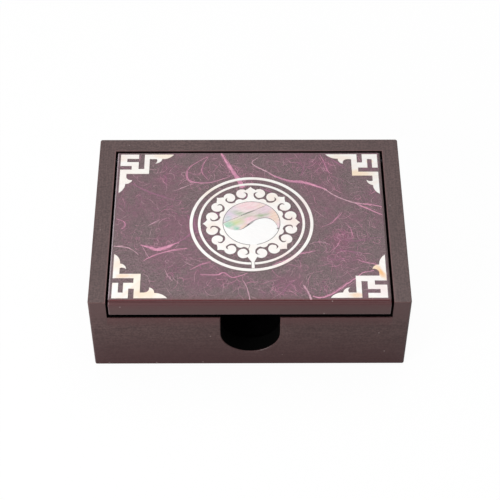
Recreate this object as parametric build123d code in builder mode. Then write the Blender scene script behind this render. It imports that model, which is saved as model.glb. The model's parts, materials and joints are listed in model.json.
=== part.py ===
from build123d import *
import math
import os

# Business card holder: a lacquered box with a lid let in between its two side walls.
# The lid turns on two hidden pins at the back. A U-shaped thumb notch in the front wall
# reaches the lid's front edge and the cards. The lid carries a sheet of fibre paper with
# inlaid shell: a round medallion and a fret in each corner.
# Frame: millimetres, +X right, +Y to the back, +Z up, origin at the middle of the base.

# Box
box_length = 110.0
box_depth = 76.7
box_height = 35.9
wall = 6.0
base_thickness = 4.0
corner_radius = 0.8
rim_radius = 0.4
foot_radius = 0.3

# Felt
base_felt_thickness = 0.5
base_felt_inset = 0.5
floor_felt_thickness = 0.7

# Lining blocks that narrow the box to a card and carry the lid
side_lining = 3.0
back_lining = 8.0
heel_clearance = 0.5

# Front wall
front_gap = 1.75
notch_width = 20.65
notch_floor_height = 7.95
notch_shift = 0.18
notch_edge_radius = 0.35

# Lid
lid_side_gap = 0.8
lid_back_gap = 0.5
lid_thickness = 6.7
lid_front_radius = 1.2
lid_rim_radius = 0.35
paper_thickness = 0.2
paper_side_inset = 0.65
paper_back_inset = 0.35

# Hinge pins
pin_diameter = 2.0
pin_in_wall = 4.0
pin_in_lid = 4.2
pin_setback = 3.2
pin_depth = 2.0
pin_running_clearance = 0.05
pin_end_clearance = 0.3
pin_tip_chamfer = 0.2

# Medallion: a disc, a wreath round it and two rings
shell_thickness = 0.2
medallion_x = 0.75
medallion_y = -2.65
medallion_turn = 1.0
disc_radius = 10.0
saw_cut = 0.2
ring_clearance = 0.8
inner_ring_width = 0.9
ring_spacing = 1.85
outer_ring_width = 1.1

# Wreath: a band with a low crown between each two florets
band_width = 1.1
crown_radius = 1.6
crown_height = 1.9
floret_count = 8

# Floret: heights are steps outwards from the wreath's inner edge, spreads are steps sideways
# from the floret's axis
floret_height = 7.05
volute_radius = 2.1
volute_height = 3.75
volute_spread = 3.1
trunk_waist_height = 2.05
trunk_height = 4.1
trunk_spread = 2.4
shoulder_height = 5.65
shoulder_spread = 1.55
tip_hollow_height = 6.15
tip_hollow_spread = 0.8

# Hooked saw cut that frees a volute from the trunk: height and spread of the points along its
# trunk side, from the mouth to the pointed end, and of those along its volute side
cut_mouth_low = (0.75, 2.95)
cut_trunk_side = (1.9, 1.3)
cut_trunk_top = (3.1, 1.05)
cut_crown = (4.3, 1.75)
cut_end = (4.15, 2.65)
cut_volute_top = (3.85, 1.9)
cut_volute_side = (2.35, 1.95)
cut_volute_low = (1.8, 2.45)
cut_mouth_high = (1.55, 3.05)

# Stem, neck and slanting saw cut of the bottom floret
stem_width = 1.0
stem_shift = 0.15
stem_taper = 0.5
stem_clearance = 0.15
neck_start = -94.0
neck_end = -80.0
slant_shift = 0.8
slant_spread = 1.85
slant_height = 2.9

# The disc's two-lobed figure, as shares of the disc's radius: the S-shaped cut between the
# coloured shell above and the pale shell below, and the seam between the coloured strips
s_curve = [
    (-0.99, -0.02),
    (-0.90, -0.17),
    (-0.57, -0.325),
    (-0.31, -0.25),
    (-0.01, 0.04),
    (0.30, 0.21),
    (0.52, 0.24),
    (0.76, 0.12),
    (0.89, -0.10),
    (0.95, -0.32),
]
shell_seam = [(-0.99, 0.02), (-0.875, 0.09), (-0.26, 0.41), (0.0, 0.54), (0.57, 0.84)]
head_share = -0.4
seam_width = 0.12

# Corner fret: a block with key-shaped saw cuts, and an arm with a leaf along each lid edge
fret_side_inset = 0.55
fret_back_inset = 0.85
fret_front_inset = 0.9
fret_block_length = 10.6
fret_block_width = 9.55
fret_arm = 2.2
long_cut_start = 6.65
long_cut_width = 2.1
long_cut_depth = 7.2
branch_cut_top = 2.05
branch_cut_width = 1.7
branch_cut_start = 2.4
short_cut_top = 5.6
short_cut_width = 1.9
short_cut_depth = 4.15

# Leaf on the fret's long side: reaches past the block, and rises above the arm
long_leaf_reach = 8.8
long_bulge_reach = 7.0
long_bulge_taper = 0.5
long_neck_reach = 4.6
long_hook_back_reach = 4.1
long_hook_back_rise = 1.2
long_hook_reach = 2.1
long_hook_rise = 2.2
long_waist_reach = 2.8
long_waist_rise = 1.0
long_root_reach = 2.5

# Leaf on the fret's short side
short_leaf_reach = 9.35
short_bulge_reach = 7.0
short_bulge_taper = 0.4
short_neck_reach = 4.9
short_hook_back_reach = 4.5
short_hook_back_rise = 1.5
short_hook_reach = 3.1
short_hook_rise = 2.4
short_waist_reach = 2.8
short_waist_rise = 0.9
short_root_reach = 1.4
short_root_rise = 0.2

# Edges closer than this to a plane count as lying in it
place_tolerance = 0.01

# Worked out from the sizes above
half_length = box_length / 2
half_depth = box_depth / 2
inner_half_length = half_length - wall
inner_half_depth = half_depth - wall
wall_foot = base_felt_thickness
floor_height = wall_foot + base_thickness

lid_half_length = inner_half_length - lid_side_gap
lid_back = inner_half_depth - lid_back_gap
lid_front = -half_depth
lid_underside = box_height - lid_thickness
board_top = box_height - shell_thickness - paper_thickness
paper_top = board_top + paper_thickness
paper_front = lid_front + lid_front_radius
paper_back = lid_back - paper_back_inset
paper_half_length = lid_half_length - paper_side_inset

pin_y = lid_back - pin_setback
pin_z = box_height - pin_depth
pin_radius = pin_diameter / 2
bore_radius = pin_radius + pin_running_clearance
bore_depth = pin_in_lid + pin_end_clearance

front_wall_top = lid_underside - front_gap
notch_radius = notch_width / 2

wreath_radius = disc_radius + saw_cut
tip_radius = wreath_radius + floret_height
inner_ring_bore = tip_radius + ring_clearance
inner_ring_radius = inner_ring_bore + inner_ring_width
outer_ring_bore = inner_ring_radius + ring_spacing
outer_ring_radius = outer_ring_bore + outer_ring_width

os.makedirs("parts", exist_ok=True)


def keep(piece, name):
    """Label a finished piece and write it to its own file."""
    piece.label = name
    export_step(piece, f"parts/{name}.step")


# Base panel, between the four walls
with BuildPart() as base_panel:
    with BuildSketch(Plane.XY.offset(wall_foot)):
        Rectangle(2 * inner_half_length, 2 * inner_half_depth)
    extrude(amount=base_thickness)
keep(base_panel.part, "base_panel")

# Felt sheet glued under the box, which is what it stands on
with BuildPart() as base_felt:
    with BuildSketch():
        Rectangle(box_length - 2 * base_felt_inset, box_depth - 2 * base_felt_inset)
    extrude(amount=base_felt_thickness)
keep(base_felt.part, "base_felt")


def edges_away_from(face, x_place):
    """The face's edges that do not lie in the upright plane at this X."""
    return face.edges().filter_by(lambda edge: abs(edge.center().X - x_place) > place_tolerance)


def side_wall(side, name):
    """One side wall, the full depth of the box, with the blind hole for its hinge pin."""
    with BuildPart() as panel:
        with BuildSketch(Plane.XY.offset(wall_foot)):
            with Locations((side * (inner_half_length + wall / 2), 0)):
                Rectangle(wall, box_depth)
        extrude(amount=box_height - wall_foot)
        inner_x = side * inner_half_length
        outer_face = panel.faces().sort_by(Axis.X)[-1 if side > 0 else 0]
        fillet(outer_face.edges().filter_by(Axis.Z), corner_radius)
        top_face = panel.faces().sort_by(Axis.Z)[-1]
        fillet(edges_away_from(top_face, inner_x), rim_radius)
        bottom_face = panel.faces().sort_by(Axis.Z)[0]
        fillet(edges_away_from(bottom_face, inner_x), foot_radius)
        seat = Plane(origin=(inner_x, pin_y, pin_z), x_dir=(0, 1, 0), z_dir=(side, 0, 0))
        with BuildSketch(seat):
            Circle(pin_radius)
        extrude(amount=pin_in_wall, mode=Mode.SUBTRACT)
    keep(panel.part, name)


side_wall(-1, "left_wall")
side_wall(1, "right_wall")


def outer_long_edges(panel, face_index):
    """The panel's lengthwise edges on its outer face, the lowest first."""
    outer_face = panel.faces().sort_by(Axis.Y)[face_index]
    return outer_face.edges().filter_by(Axis.X).sort_by(Axis.Z)


# Back wall, between the side walls and up to the rim
with BuildPart() as back_wall:
    with BuildSketch(Plane.XY.offset(wall_foot)):
        with Locations((0, inner_half_depth + wall / 2)):
            Rectangle(2 * inner_half_length, wall)
    extrude(amount=box_height - wall_foot)
    fillet(outer_long_edges(back_wall, -1)[-1], rim_radius)
    fillet(outer_long_edges(back_wall, -1)[0], foot_radius)
keep(back_wall.part, "back_wall")

# Front wall, lower than the lid, with the thumb notch
with BuildPart() as front_wall:
    with BuildSketch(Plane.XY.offset(wall_foot)):
        with Locations((0, -inner_half_depth - wall / 2)):
            Rectangle(2 * inner_half_length, wall)
    extrude(amount=front_wall_top - wall_foot)
    fillet(outer_long_edges(front_wall, 0)[0], foot_radius)
    with BuildSketch(Plane.XZ.offset(half_depth)):
        with Locations((notch_shift, notch_floor_height + notch_radius)):
            Circle(notch_radius)
            Rectangle(notch_width, front_wall_top, align=(Align.CENTER, Align.MIN))
    extrude(amount=-wall, mode=Mode.SUBTRACT)
    front_face_edges = front_wall.faces().sort_by(Axis.Y)[0].edges()
    notch_arc = front_face_edges.filter_by(GeomType.CIRCLE)
    notch_sides = front_face_edges.filter_by(Axis.Z).filter_by(
        lambda edge: abs(edge.center().X - notch_shift) < notch_radius + notch_edge_radius
    )
    fillet(notch_arc + notch_sides, notch_edge_radius)
keep(front_wall.part, "front_wall")


def side_liner(side, name):
    """Card guide glued inside a side wall; the closed lid rests on its top."""
    liner_front = -inner_half_depth
    liner_back = inner_half_depth - back_lining
    middle = (side * (inner_half_length - side_lining / 2), (liner_front + liner_back) / 2)
    with BuildPart() as liner:
        with BuildSketch(Plane.XY.offset(floor_height)):
            with Locations(middle):
                Rectangle(side_lining, liner_back - liner_front)
        extrude(amount=lid_underside - floor_height)
    keep(liner.part, name)


side_liner(-1, "left_liner")
side_liner(1, "right_liner")

# Block along the back, low enough for the lid's heel to turn above it
with BuildPart() as back_liner:
    with BuildSketch(Plane.XY.offset(floor_height)):
        with Locations((0, inner_half_depth - back_lining / 2)):
            Rectangle(2 * inner_half_length, back_lining)
    extrude(amount=lid_underside - heel_clearance - floor_height)
keep(back_liner.part, "back_liner")

# Felt on the floor, between the liners
with BuildPart() as floor_felt:
    with BuildSketch(Plane.XY.offset(floor_height)):
        with Locations((0, -back_lining / 2)):
            Rectangle(2 * (inner_half_length - side_lining), 2 * inner_half_depth - back_lining)
    extrude(amount=floor_felt_thickness)
keep(floor_felt.part, "floor_felt")


def hinge_pin(side, name):
    """Pin fixed in a side wall; the lid turns on its free end."""
    outer_end = side * (inner_half_length + pin_in_wall)
    start = Plane(origin=(outer_end, pin_y, pin_z), x_dir=(0, 1, 0), z_dir=(-side, 0, 0))
    with BuildPart() as pin:
        with BuildSketch(start):
            Circle(pin_radius)
        extrude(amount=pin_in_wall + lid_side_gap + pin_in_lid)
        free_end = pin.faces().sort_by(Axis.X)[0 if side > 0 else -1]
        chamfer(free_end.edges(), pin_tip_chamfer)
    keep(pin.part, name)


hinge_pin(-1, "hinge_pin_left")
hinge_pin(1, "hinge_pin_right")

# Lid board: round heel under the back edge, soft front edge, blind bores for the pins
with BuildPart() as lid_board:
    with BuildSketch(Plane.XY.offset(lid_underside)):
        with Locations((0, (lid_front + lid_back) / 2)):
            Rectangle(2 * lid_half_length, lid_back - lid_front)
    extrude(amount=board_top - lid_underside)
    long_edges = lid_board.edges().filter_by(Axis.X)
    back_edges = long_edges.group_by(Axis.Y)[-1].sort_by(Axis.Z)
    front_edges = long_edges.group_by(Axis.Y)[0].sort_by(Axis.Z)
    fillet(back_edges[0], pin_setback)
    fillet(front_edges[-1], lid_front_radius)
    fillet(front_edges[0], lid_rim_radius)
    top_edges = lid_board.faces().sort_by(Axis.Z)[-1].edges()
    rim_start = paper_front + place_tolerance
    fillet(top_edges.filter_by(lambda edge: edge.center().Y > rim_start), lid_rim_radius)
    for side in (-1, 1):
        mouth = Plane(
            origin=(side * lid_half_length, pin_y, pin_z), x_dir=(0, 1, 0), z_dir=(-side, 0, 0)
        )
        with BuildSketch(mouth):
            Circle(bore_radius)
        extrude(amount=bore_depth, mode=Mode.SUBTRACT)
keep(lid_board.part, "lid_board")

# Fibre paper on the lid
with BuildPart() as lid_paper:
    with BuildSketch(Plane.XY.offset(board_top)):
        with Locations((0, (paper_front + paper_back) / 2)):
            Rectangle(2 * paper_half_length, paper_back - paper_front)
    extrude(amount=paper_thickness)
keep(lid_paper.part, "lid_paper")

# The medallion's pieces lie on the paper, round its own centre and slightly turned
turn = math.radians(medallion_turn)
medallion = Plane(
    origin=(medallion_x, medallion_y, paper_top),
    x_dir=(math.cos(turn), math.sin(turn), 0),
    z_dir=(0, 0, 1),
)

with BuildPart() as outer_ring:
    with BuildSketch(medallion):
        Circle(outer_ring_radius)
        Circle(outer_ring_bore, mode=Mode.SUBTRACT)
    extrude(amount=shell_thickness)
keep(outer_ring.part, "outer_ring")

# Inner ring, open at the bottom for the stem
with BuildPart() as inner_ring:
    with BuildSketch(medallion):
        Circle(inner_ring_radius)
        Circle(inner_ring_bore, mode=Mode.SUBTRACT)
        with Locations((stem_shift, -inner_ring_radius)):
            Rectangle(stem_width + 2 * stem_clearance, 4 * inner_ring_width, mode=Mode.SUBTRACT)
    extrude(amount=shell_thickness)
keep(inner_ring.part, "inner_ring")


def at(height, spread=0):
    """A point of the floret along +X: this far outside the wreath's inner edge, and sideways."""
    return (wreath_radius + height, spread)


# One floret along +X: two round volutes on a trunk with a pointed tip
with BuildSketch() as floret:
    with Locations(at(volute_height, volute_spread), at(volute_height, -volute_spread)):
        Circle(volute_radius)
    with BuildLine():
        shoulder = at(shoulder_height, shoulder_spread)
        Polyline(
            at(0),
            at(0, volute_spread),
            at(trunk_waist_height, trunk_spread),
            at(trunk_height, trunk_spread),
            shoulder,
        )
        ThreePointArc(shoulder, at(tip_hollow_height, tip_hollow_spread), at(floret_height))
        mirror(about=Plane.XZ)
    make_face()

# The pair of hooked saw cuts of that floret
with BuildSketch() as volute_cuts:
    with BuildLine():
        ThreePointArc(at(*cut_mouth_low), at(*cut_trunk_side), at(*cut_trunk_top))
        ThreePointArc(at(*cut_trunk_top), at(*cut_crown), at(*cut_end))
        ThreePointArc(at(*cut_end), at(*cut_volute_top), at(*cut_volute_side))
        ThreePointArc(at(*cut_volute_side), at(*cut_volute_low), at(*cut_mouth_high))
        Line(at(*cut_mouth_high), at(*cut_mouth_low))
    make_face()
    mirror(about=Plane.XZ)

# The bottom floret drawn out into a stem that ends just short of the outer ring
shoulder_level = -(wreath_radius + shoulder_height)
trunk_level = -(wreath_radius + trunk_height)
taper_level = -(tip_radius + stem_taper)
stem_foot_level = -(outer_ring_bore - stem_clearance)
stem_left = stem_shift - stem_width / 2
stem_right = stem_shift + stem_width / 2
with BuildSketch() as stem:
    with BuildLine():
        Polyline(
            (-shoulder_spread, trunk_level),
            (shoulder_spread, trunk_level),
            (shoulder_spread, shoulder_level),
            (stem_right, taper_level),
            (stem_right, stem_foot_level),
            (stem_left, stem_foot_level),
            (stem_left, taper_level),
            (-shoulder_spread, shoulder_level),
            close=True,
        )
    make_face()

# The bottom floret's neck, which runs on into the disc's pale shell
neck_sweep = neck_end - neck_start
with BuildSketch() as neck:
    with BuildLine():
        inner_arc = CenterArc((0, 0), disc_radius, neck_start, neck_sweep)
        outer_arc = CenterArc((0, 0), wreath_radius + band_width / 2, neck_start, neck_sweep)
        Line(inner_arc @ 0, outer_arc @ 0)
        Line(inner_arc @ 1, outer_arc @ 1)
    make_face()

# The slanting saw cut between the bottom floret's left volute and its neck
with BuildSketch() as slant_cut:
    with BuildLine():
        Polyline(
            (-slant_shift, -disc_radius),
            (-slant_shift + saw_cut, -disc_radius),
            (-slant_spread + saw_cut, -wreath_radius - slant_height),
            (-slant_spread, -wreath_radius - slant_height),
            close=True,
        )
    make_face()

# Wreath: a band round the disc with crowns and florets, the stem and the neck
with BuildPart() as scroll_wreath:
    with BuildSketch(medallion):
        Circle(wreath_radius + band_width)
        crown_reach = wreath_radius + crown_height - crown_radius
        with PolarLocations(crown_reach, floret_count, start_angle=180 / floret_count):
            Circle(crown_radius)
        with PolarLocations(0, floret_count):
            add(floret.sketch)
        with PolarLocations(0, floret_count):
            add(volute_cuts.sketch, mode=Mode.SUBTRACT)
        add(stem.sketch)
        add(slant_cut.sketch, mode=Mode.SUBTRACT)
        Circle(wreath_radius, mode=Mode.SUBTRACT)
        add(neck.sketch)
    extrude(amount=shell_thickness)
keep(scroll_wreath.part, "scroll_wreath")


def lowered(points, drop, left_share=-1.0):
    """The points at the disc's real size, those right of the given share moved down by the drop."""
    moved = []
    for across, along in points:
        step = drop if across > left_share else 0
        moved.append((disc_radius * across, disc_radius * along - step))
    return moved


def region_above(line_type, points):
    """Sketch of all that lies above a line of this type, out past the disc's edge."""
    past_edge = 1.5 * disc_radius
    with BuildSketch() as region:
        with BuildLine():
            line_type(*points)
            Polyline(
                points[-1],
                (past_edge, points[-1][1]),
                (past_edge, past_edge),
                (-past_edge, past_edge),
                (-past_edge, points[0][1]),
                points[0],
            )
        make_face()
    return region.sketch


above_cut = region_above(Spline, lowered(s_curve, 0))
above_pale = region_above(Spline, lowered(s_curve, saw_cut, head_share))
above_seam = region_above(Polyline, lowered(shell_seam, 0))
above_lower_strip = region_above(Polyline, lowered(shell_seam, seam_width))

# The disc: two strips of coloured shell above the S-shaped cut, pale shell below it
with BuildPart() as taegeuk_upper_strip:
    with BuildSketch(medallion):
        Circle(disc_radius)
        add(above_seam, mode=Mode.INTERSECT)
    extrude(amount=shell_thickness)
keep(taegeuk_upper_strip.part, "taegeuk_upper_strip")

with BuildPart() as taegeuk_lower_strip:
    with BuildSketch(medallion):
        Circle(disc_radius)
        add(above_cut, mode=Mode.INTERSECT)
        add(above_lower_strip, mode=Mode.SUBTRACT)
    extrude(amount=shell_thickness)
keep(taegeuk_lower_strip.part, "taegeuk_lower_strip")

with BuildPart() as taegeuk_pale_half:
    with BuildSketch(medallion):
        Circle(disc_radius)
        add(above_cut, mode=Mode.SUBTRACT)
        add(above_pale, mode=Mode.SUBTRACT)
    extrude(amount=shell_thickness)
keep(taegeuk_pale_half.part, "taegeuk_pale_half")


def past_length(reach, rise=0):
    """A point of the fret's long leaf: past the block along +X, and above the arm."""
    return (fret_block_length + reach, -fret_arm - rise)


def past_width(reach, rise=0):
    """A point of the fret's short leaf: past the block along -Y, and above the arm."""
    return (fret_arm + rise, -fret_block_width - reach)


# One corner fret, drawn with its outer corner at the origin and its arms along +X and -Y
corner_align = (Align.MIN, Align.MAX)
with BuildSketch() as fret:
    Rectangle(fret_block_length, fret_block_width, align=corner_align)
    with BuildLine():
        leaf_tip = (fret_block_length + long_leaf_reach, 0)
        root = past_length(long_root_reach)
        hook_tip = past_length(long_hook_reach, long_hook_rise)
        leaf_neck = past_length(long_neck_reach)
        Polyline(leaf_tip, (fret_block_length, 0), past_length(0), root)
        ThreePointArc(root, past_length(long_waist_reach, long_waist_rise), hook_tip)
        ThreePointArc(hook_tip, past_length(long_hook_back_reach, long_hook_back_rise), leaf_neck)
        ThreePointArc(leaf_neck, past_length(long_bulge_reach, -long_bulge_taper), leaf_tip)
    make_face()
    with BuildLine():
        leaf_tip = (0, -fret_block_width - short_leaf_reach)
        root = past_width(short_root_reach, short_root_rise)
        hook_tip = past_width(short_hook_reach, short_hook_rise)
        leaf_neck = past_width(short_neck_reach)
        Polyline(leaf_tip, (0, -fret_block_width), past_width(0, short_root_rise), root)
        ThreePointArc(root, past_width(short_waist_reach, short_waist_rise), hook_tip)
        ThreePointArc(hook_tip, past_width(short_hook_back_reach, short_hook_back_rise), leaf_neck)
        ThreePointArc(leaf_neck, past_width(short_bulge_reach, -short_bulge_taper), leaf_tip)
    make_face()
    with Locations((long_cut_start, 0)):
        Rectangle(long_cut_width, long_cut_depth, align=corner_align, mode=Mode.SUBTRACT)
    branch_length = long_cut_start + long_cut_width - branch_cut_start
    with Locations((branch_cut_start, -branch_cut_top)):
        Rectangle(branch_length, branch_cut_width, align=corner_align, mode=Mode.SUBTRACT)
    with Locations((0, -short_cut_top)):
        Rectangle(short_cut_depth, short_cut_width, align=corner_align, mode=Mode.SUBTRACT)

# The same fret in each corner, turned by a quarter from one corner to the next
fret_side = paper_half_length - fret_side_inset
fret_back = paper_back - fret_back_inset
fret_front = paper_front + fret_front_inset
fret_places = {
    "fret_back_left": ((-fret_side, fret_back), (1, 0, 0)),
    "fret_front_left": ((-fret_side, fret_front), (0, 1, 0)),
    "fret_front_right": ((fret_side, fret_front), (-1, 0, 0)),
    "fret_back_right": ((fret_side, fret_back), (0, -1, 0)),
}
for fret_name, (corner, heading) in fret_places.items():
    corner_plane = Plane(origin=(*corner, paper_top), x_dir=heading, z_dir=(0, 0, 1))
    with BuildPart() as corner_fret:
        with BuildSketch(corner_plane):
            add(fret.sketch)
        extrude(amount=shell_thickness)
    keep(corner_fret.part, fret_name)
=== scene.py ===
"""Looks of a lacquered business card holder with shell inlay on fibre paper.

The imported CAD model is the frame. Every wall, pin and piece of inlay keeps its CAD shape and
gets a procedural finish here; the long fibres of the paper are extra pieces that lie on it.
Lengths in the classes are millimetres unless a name says otherwise, and every mesh is metres.
"""

import json
import logging
import math
import random
from dataclasses import dataclass, field, replace
from enum import Enum
from typing import ClassVar, Sequence, Union

import bpy
from mathutils import Matrix, Vector

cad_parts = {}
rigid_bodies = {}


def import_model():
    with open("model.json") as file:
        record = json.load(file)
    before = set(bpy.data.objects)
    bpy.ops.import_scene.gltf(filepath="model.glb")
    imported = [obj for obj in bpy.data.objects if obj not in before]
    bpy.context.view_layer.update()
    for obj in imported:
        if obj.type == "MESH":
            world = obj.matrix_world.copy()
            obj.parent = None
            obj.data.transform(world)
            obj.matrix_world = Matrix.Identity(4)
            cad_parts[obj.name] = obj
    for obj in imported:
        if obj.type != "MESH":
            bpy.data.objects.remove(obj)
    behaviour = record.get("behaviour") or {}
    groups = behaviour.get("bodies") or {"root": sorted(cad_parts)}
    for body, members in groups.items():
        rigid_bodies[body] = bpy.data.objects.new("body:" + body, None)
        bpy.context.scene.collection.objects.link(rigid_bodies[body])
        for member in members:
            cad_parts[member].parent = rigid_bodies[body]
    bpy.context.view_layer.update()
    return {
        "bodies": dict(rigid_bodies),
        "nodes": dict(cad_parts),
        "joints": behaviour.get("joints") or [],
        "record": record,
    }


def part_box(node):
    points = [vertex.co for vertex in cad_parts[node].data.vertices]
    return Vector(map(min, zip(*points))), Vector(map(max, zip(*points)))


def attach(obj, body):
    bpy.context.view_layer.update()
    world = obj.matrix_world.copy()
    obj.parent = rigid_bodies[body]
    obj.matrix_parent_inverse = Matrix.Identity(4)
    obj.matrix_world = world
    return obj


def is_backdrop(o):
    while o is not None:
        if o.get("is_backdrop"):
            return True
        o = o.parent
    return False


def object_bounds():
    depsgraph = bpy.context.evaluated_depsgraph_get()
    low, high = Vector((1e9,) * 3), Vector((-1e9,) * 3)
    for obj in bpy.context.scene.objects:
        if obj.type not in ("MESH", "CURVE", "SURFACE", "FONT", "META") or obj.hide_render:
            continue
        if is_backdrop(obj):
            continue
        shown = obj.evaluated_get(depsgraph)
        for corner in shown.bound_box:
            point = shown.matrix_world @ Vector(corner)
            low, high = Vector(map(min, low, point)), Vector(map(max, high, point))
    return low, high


LOG = logging.getLogger("card_holder")
MM = 0.001

# Millimetres, beyond every surface
FAR = 500.0

# The part of a normal along an axis from which on a surface faces that way
STEEP = 0.7

Socket = bpy.types.NodeSocket
Sockets = bpy.types.NodeOutputs
Node = bpy.types.Node
Tree = bpy.types.NodeTree
Material = bpy.types.Material
Colour = tuple[int, int, int]
Triple = tuple[float, float, float]
Point = tuple[float, float]
Value = Union[float, Sequence[float], Socket]
Paint = Union[Colour, Socket]
Inputs = dict[str, Value]

VARNISH: Inputs = {
    "Coat Weight": 0.58, "Coat Roughness": 0.32, "Coat IOR": 1.5, "Specular IOR Level": 0.12,
}
POLISH: Inputs = {
    "Coat Weight": 0.5, "Coat Roughness": 0.12, "Coat IOR": 1.45, "Specular IOR Level": 0.35,
}


class Body(Enum):
    """The CAD bodies that a piece can ride on."""

    BOX = "box"
    LID = "lid"


class Slot(Enum):
    """The record's material slots."""

    PAPER = "fibre_paper"


class TintedAt(Enum):
    """Where an edge tint lies: all edges of a block, or only the outline of its top."""

    EDGES = "edge_wear"
    RIM = "rim_wear"


class Dye(Enum):
    """How strongly a paper fibre has taken the dye."""

    ROSE = "rose"
    PALE = "pale"
    PLUM = "plum"


ROSE, PALE, PLUM = Dye


def linear(colour: Colour) -> list[float]:
    """Turn a colour of 8-bit sRGB, as all colours here are written, into a shader's values.

    Args:
        colour: Red, green and blue, from 0 to 255.

    Returns:
        The same colour as linear values, with alpha 1.
    """
    shares = [part / 255 for part in colour]
    bent = [part / 12.92 if part <= 0.04045 else ((part + 0.055) / 1.055) ** 2.4 for part in shares]
    return [*bent, 1.0]


def in_mm(box: Sequence[Sequence[float]]) -> tuple[Vector, Vector]:
    """The lowest and highest corner of a box in metres, as vectors in millimetres."""
    low, high = box
    return Vector(low) / MM, Vector(high) / MM


def added(name: str, data: bpy.types.ID) -> bpy.types.Object:
    """Add an object to the scene.

    Args:
        name: The object's name.
        data: Its mesh, light or camera.

    Returns:
        The new object.
    """
    made = bpy.data.objects.new(name, data)
    bpy.context.scene.collection.objects.link(made)
    return made


class Graph:
    """Adds nodes to one shader tree and joins them."""

    def __init__(self, tree: Tree) -> None:
        """Keep the tree that the nodes go into."""
        self.tree = tree

    def node(self, kind: str, **settings: object) -> Node:
        """Add a node.

        Args:
            kind: The node's type name.
            **settings: Attributes to set on it.

        Returns:
            The new node.
        """
        made = self.tree.nodes.new(kind)
        for key, value in settings.items():
            setattr(made, key, value)
        return made

    def put(self, socket: Socket, value: Value) -> None:
        """Link the value to the socket, or write it there when it is a constant."""
        if isinstance(value, Socket):
            self.tree.links.new(value, socket)
        else:
            socket.default_value = value

    def fed(self, made: Node, *values: Value, **named: Value) -> Node:
        """Feed a node's inputs.

        Args:
            made: The node.
            *values: The values of its first inputs, in order.
            **named: The values of other inputs by name.

        Returns:
            The same node.
        """
        for socket, value in zip(made.inputs, values):
            self.put(socket, value)
        for name, value in named.items():
            self.put(made.inputs[name], value)
        return made

    def math(self, operation: str, *values: Value, clamp: bool = False) -> Socket:
        """A Math node's result for these values."""
        made = self.node("ShaderNodeMath", operation=operation, use_clamp=clamp)
        return self.fed(made, *values).outputs[0]

    def times(self, first: Value, second: Value) -> Socket:
        """The product of two values."""
        return self.math("MULTIPLY", first, second)

    def plus(self, first: Value, second: Value) -> Socket:
        """The sum of two values."""
        return self.math("ADD", first, second)

    def minus(self, first: Value, second: Value) -> Socket:
        """The first value less the second."""
        return self.math("SUBTRACT", first, second)

    def rest(self, share: Value) -> Socket:
        """What is left of 1 beside this share."""
        return self.math("SUBTRACT", 1.0, share)

    def vector(self, operation: str, *values: Value) -> Socket:
        """A Vector Math node's result: its vector, or its number for a length."""
        made = self.node("ShaderNodeVectorMath", operation=operation)
        return self.fed(made, *values).outputs[1 if operation == "LENGTH" else 0]

    def smooth(self, value: Value, low: Value, high: Value) -> Socket:
        """A soft step from 0 at the low value to 1 at the high one."""
        made = self.node("ShaderNodeMapRange", interpolation_type="SMOOTHSTEP")
        return self.fed(made, value, low, high).outputs[0]

    def spread(self, value: Value, low: float, high: float) -> Socket:
        """The 0 to 1 value moved to the range from low to high."""
        return self.math("MULTIPLY_ADD", value, high - low, low)

    def mix(self, factor: Value, first: Paint, second: Paint) -> Socket:
        """Mix two colours.

        Args:
            factor: 0 for the first colour and 1 for the second.
            first: The first colour.
            second: The second colour.

        Returns:
            The mixed colour.
        """
        made = self.node("ShaderNodeMix", data_type="RGBA", clamp_factor=True)
        self.put(made.inputs[0], factor)
        for index, colour in ((6, first), (7, second)):
            self.put(made.inputs[index], colour if isinstance(colour, Socket) else linear(colour))
        return made.outputs[2]

    def noise(self, place: Value, scale: Value, detail: float = 2.0, bend: float = 0.0) -> Socket:
        """A Noise Texture's value at this place."""
        made = self.node("ShaderNodeTexNoise")
        return self.fed(made, place, Scale=scale, Detail=detail, Distortion=bend).outputs[0]

    def place(self) -> Socket:
        """The surface point in millimetres, fixed to the piece."""
        made = self.node("ShaderNodeVectorMath", operation="SCALE")
        point = self.node("ShaderNodeTexCoord").outputs["Object"]
        return self.fed(made, point, Scale=1 / MM).outputs[0]

    def outward(self) -> tuple[Socket, ...]:
        """How far the surface faces along X, Y and Z, without the sign."""
        normal = self.node("ShaderNodeTexCoord").outputs["Normal"]
        return self.split(self.vector("ABSOLUTE", normal))

    def cut_side(self, colour: Paint, cut: Colour, share: float) -> Socket:
        """The colour, with this share of the cut's colour on upright sides."""
        upright = self.math("LESS_THAN", self.outward()[2], STEEP)
        return self.mix(self.times(upright, share), colour, cut)

    def split(self, vector: Value) -> tuple[Socket, ...]:
        """The vector's X, Y and Z."""
        return tuple(self.fed(self.node("ShaderNodeSeparateXYZ"), vector).outputs)

    def turned(self, vector: Value, angle: Value) -> Socket:
        """The vector turned about Z by this angle in radians."""
        made = self.node("ShaderNodeVectorRotate", rotation_type="Z_AXIS")
        return self.fed(made, vector, Angle=angle).outputs[0]

    def relief(self, height: Socket, depth: float) -> Socket:
        """The bumped normal of a height map whose full range is this many millimetres."""
        bump = self.node("ShaderNodeBump")
        return self.fed(bump, Strength=1.0, Distance=depth * MM, Height=height).outputs[0]

    def effect(self, name: str, **values: Value) -> Socket:
        """The mask of the shared effect with this name, for these inputs."""
        made = self.node("ShaderNodeGroup", node_tree=bpy.data.node_groups[name])
        return self.fed(made, **values).outputs[0]


def cleared(owner: bpy.types.ID) -> Graph:
    """Turn on the shader nodes of a new material or world and clear them.

    Args:
        owner: The material or world.

    Returns:
        Its empty graph.
    """
    owner.use_nodes = True
    owner.node_tree.nodes.clear()
    return Graph(owner.node_tree)


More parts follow.
